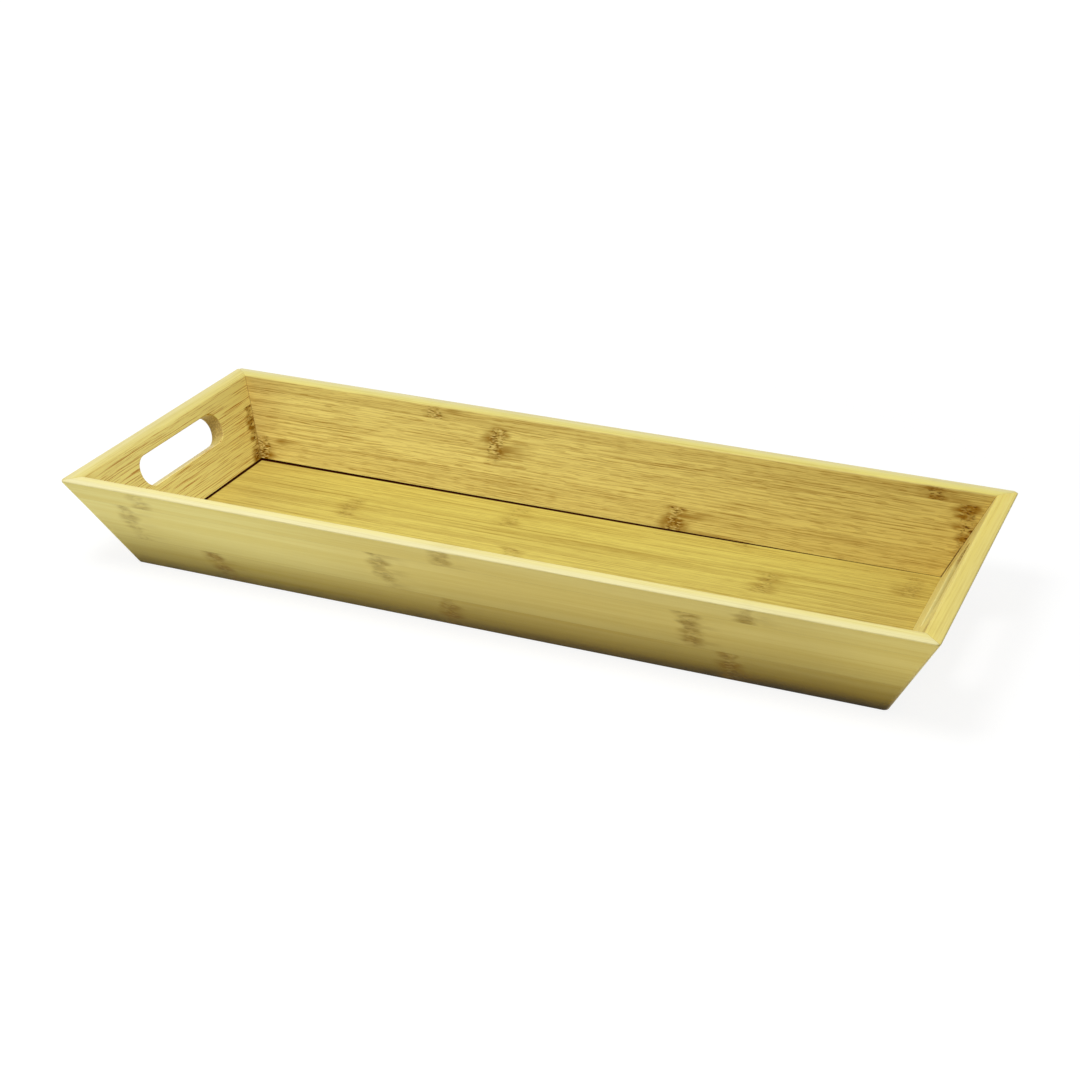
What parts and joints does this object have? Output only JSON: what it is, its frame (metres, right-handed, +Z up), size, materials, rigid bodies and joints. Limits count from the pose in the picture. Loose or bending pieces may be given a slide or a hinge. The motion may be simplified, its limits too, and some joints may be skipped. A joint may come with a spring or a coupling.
{
  "type": "serving tray",
  "caption": "Narrow rectangular bamboo serving tray with outward-leaning mitred walls, a hand slot in each end and a strip floor held in a groove.",
  "frame": {"origin": "middle of the tray's footprint, on the surface that it stands on", "axes": "+X along the tray to the right as pictured, +Y to the back wall, +Z up"},
  "size_m": [0.449, 0.179, 0.052],
  "materials": {
    "wall_bamboo": "satin clear lacquer",
    "floor_bamboo": "satin clear lacquer",
    "spline_bamboo": "bare"
  },
  "bodies": {
    "root": {"front_wall_rim_strip": "wall_bamboo", "front_wall_middle_strip": "wall_bamboo", "front_wall_base_strip": "wall_bamboo", "back_wall_rim_strip": "wall_bamboo", "back_wall_middle_strip": "wall_bamboo", "back_wall_base_strip": "wall_bamboo", "left_wall_rim_strip": "wall_bamboo", "left_wall_middle_strip": "wall_bamboo", "left_wall_base_strip": "wall_bamboo", "right_wall_rim_strip": "wall_bamboo", "right_wall_middle_strip": "wall_bamboo", "right_wall_base_strip": "wall_bamboo", "floor_strip_1": "floor_bamboo", "floor_strip_2": "floor_bamboo", "floor_strip_3": "floor_bamboo", "floor_strip_4": "floor_bamboo", "floor_strip_5": "floor_bamboo", "floor_strip_6": "floor_bamboo", "front_left_spline": "spline_bamboo", "front_right_spline": "spline_bamboo", "back_left_spline": "spline_bamboo", "back_right_spline": "spline_bamboo"}
  },
  "joints": []
}
